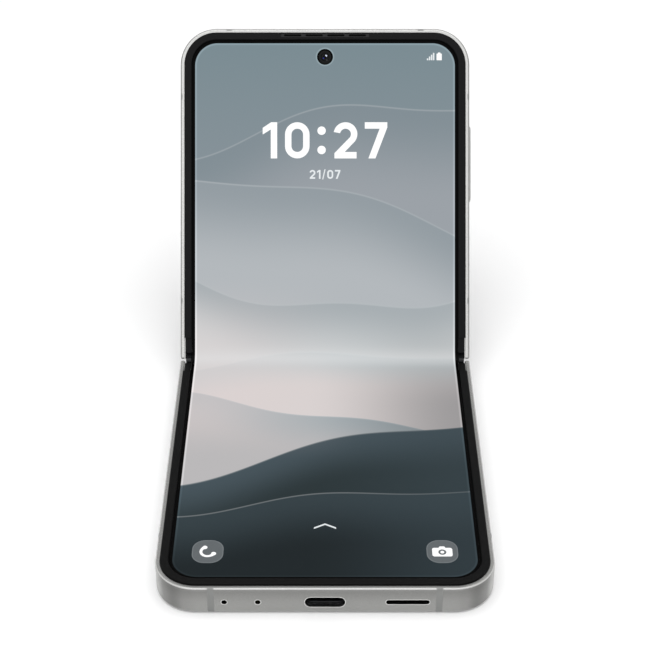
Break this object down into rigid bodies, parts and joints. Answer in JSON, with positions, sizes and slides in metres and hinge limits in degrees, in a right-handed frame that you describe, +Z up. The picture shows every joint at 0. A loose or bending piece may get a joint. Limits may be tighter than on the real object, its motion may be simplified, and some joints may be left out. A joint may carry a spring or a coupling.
{
  "type": "foldable smartphone",
  "caption": "Clamshell phone with an inner folding display, a geared two-axis hinge in a slim spine, raised bezels, rear cameras and an outer display, standing half open.",
  "frame": {"origin": "middle of the flat rear glass of the lower half, on which the phone stands", "axes": "+X to the right as seen by the user, +Y away from the user from the port end to the fold, +Z up out of the lower display"},
  "size_m": [0.0725, 0.1338, 0.075],
  "materials": {
    "frame_metal": "satin",
    "rear_glass": "frosted",
    "cover_glass": "gloss",
    "bezel": "satin",
    "display": "gloss",
    "hinge_steel": "satin",
    "gear_brass": "satin",
    "screw_steel": "satin",
    "battery": "matte",
    "copper": "satin",
    "board": "satin",
    "port_steel": "satin",
    "module_black": "matte",
    "motor_steel": "satin",
    "mic_gold": "satin",
    "antenna_band": "satin",
    "spine_metal": "satin",
    "end_cap": "satin",
    "cover_screen": "gloss",
    "camera_ring": "satin",
    "lens_glass": "gloss",
    "flash": "frosted",
    "grille": "satin",
    "key_metal": "satin",
    "tray_metal": "satin"
  },
  "bodies": {
    "lower_half": {"lower_frame": "frame_metal", "lower_rear_cover": "rear_glass", "lower_bezel": "bezel", "display_lower": "display", "rotary_bracket_lower_left": "hinge_steel", "rotary_bracket_lower_right": "hinge_steel", "hinge_screws_lower": "screw_steel", "main_battery": "battery", "charging_coil": "copper", "sub_board": "board", "usb_port": "port_steel", "loudspeaker": "module_black", "vibration_motor": "motor_steel", "microphones": "mic_gold", "antenna_bands_lower": "antenna_band", "board_screws_lower": "screw_steel"},
    "hinge_spine": {"spine_cover": "spine_metal", "spine_end_caps": "end_cap", "hinge_bracket_left": "hinge_steel", "hinge_bracket_right": "hinge_steel", "friction_discs": "gear_brass", "display_fold": "display"},
    "upper_half": {"upper_frame": "frame_metal", "upper_rear_cover": "cover_glass", "upper_bezel": "bezel", "display_upper": "display", "rotary_bracket_upper_left": "hinge_steel", "rotary_bracket_upper_right": "hinge_steel", "hinge_screws_upper": "screw_steel", "cover_display": "cover_screen", "vapor_chamber": "copper", "main_board": "board", "shield_cans": "port_steel", "sub_battery": "battery", "front_camera": "module_black", "rear_camera_main": "module_black", "rear_camera_wide": "module_black", "camera_rings": "camera_ring", "camera_lenses": "lens_glass", "flash_lens": "flash", "earpiece_grille": "grille", "earpiece_speaker": "module_black", "key_switches": "mic_gold", "sim_reader": "port_steel", "antenna_bands_upper": "antenna_band", "board_screws_upper": "screw_steel"},
    "arm_lower": {"sync_arm_lower_left": "hinge_steel", "sync_arm_lower_right": "hinge_steel"},
    "arm_upper": {"sync_arm_upper_left": "hinge_steel", "sync_arm_upper_right": "hinge_steel"},
    "idler_lower": {"idler_gear_lower_left": "gear_brass", "idler_gear_lower_right": "gear_brass"},
    "idler_upper": {"idler_gear_upper_left": "gear_brass", "idler_gear_upper_right": "gear_brass"},
    "wing_lower": {"wing_plate_lower": "hinge_steel"},
    "wing_upper": {"wing_plate_upper": "hinge_steel"},
    "volume_key": {"volume_key": "key_metal"},
    "side_key": {"side_key": "key_metal"},
    "sim_tray": {"sim_tray": "tray_metal"}
  },
  "joints": [
    {"name": "fold_lower", "type": "hinge", "parent": "lower_half", "child": "hinge_spine", "pos_m": [0, 0.04077, 0.00615], "axis": [1, 0, 0], "range_deg": [-28, 62], "deforming": ["display_fold"]},
    {"name": "fold_upper", "type": "hinge", "parent": "hinge_spine", "child": "upper_half", "pos_m": [0, 0.04307, 0.00737], "axis": [1, 0, 0], "range_deg": [-28, 62]},
    {"name": "arm_lower_turn", "type": "hinge", "parent": "hinge_spine", "child": "arm_lower", "pos_m": [0, 0.03974, 0.00362], "axis": [1, 0, 0], "range_deg": [-62, 28]},
    {"name": "idler_lower_turn", "type": "hinge", "parent": "hinge_spine", "child": "idler_lower", "pos_m": [0, 0.04174, 0.00469], "axis": [1, 0, 0], "range_deg": [-28, 62]},
    {"name": "idler_upper_turn", "type": "hinge", "parent": "hinge_spine", "child": "idler_upper", "pos_m": [0, 0.04374, 0.00575], "axis": [1, 0, 0], "range_deg": [-62, 28]},
    {"name": "arm_upper_turn", "type": "hinge", "parent": "hinge_spine", "child": "arm_upper", "pos_m": [0, 0.04574, 0.00681], "axis": [1, 0, 0], "range_deg": [-28, 62]},
    {"name": "wing_lower_tilt", "type": "hinge", "parent": "lower_half", "child": "wing_lower", "pos_m": [0, 0.03157, 0.00602], "axis": [1, 0, 0], "range_deg": [-1.73, 0.79]},
    {"name": "wing_upper_tilt", "type": "hinge", "parent": "upper_half", "child": "wing_upper", "pos_m": [0, 0.04832, 0.01493], "axis": [1, 0, 0], "range_deg": [-0.79, 1.73]},
    {"name": "volume_key_press", "type": "slide", "parent": "upper_half", "child": "volume_key", "axis": [-1, 0, 0], "range_m": [0, 0.0002], "stiffness_N_per_m": 8000, "springref_m": -0.0001},
    {"name": "side_key_press", "type": "slide", "parent": "upper_half", "child": "side_key", "axis": [-1, 0, 0], "range_m": [0, 0.0002], "stiffness_N_per_m": 8000, "springref_m": -0.0001},
    {"name": "sim_tray_slide", "type": "slide", "parent": "upper_half", "child": "sim_tray", "axis": [-1, 0, 0], "range_m": [0, 0.013]}
  ],
  "couplings": [
    {"joint": "fold_upper", "follows": "fold_lower", "ratio": 1},
    {"joint": "arm_lower_turn", "follows": "fold_lower", "ratio": -1},
    {"joint": "idler_lower_turn", "follows": "fold_lower", "ratio": 1},
    {"joint": "idler_upper_turn", "follows": "fold_lower", "ratio": -1},
    {"joint": "arm_upper_turn", "follows": "fold_lower", "ratio": 1},
    {"joint": "wing_lower_tilt", "follows": "fold_lower", "ratio": -0.027778},
    {"joint": "wing_upper_tilt", "follows": "fold_lower", "ratio": 0.027778}
  ]
}
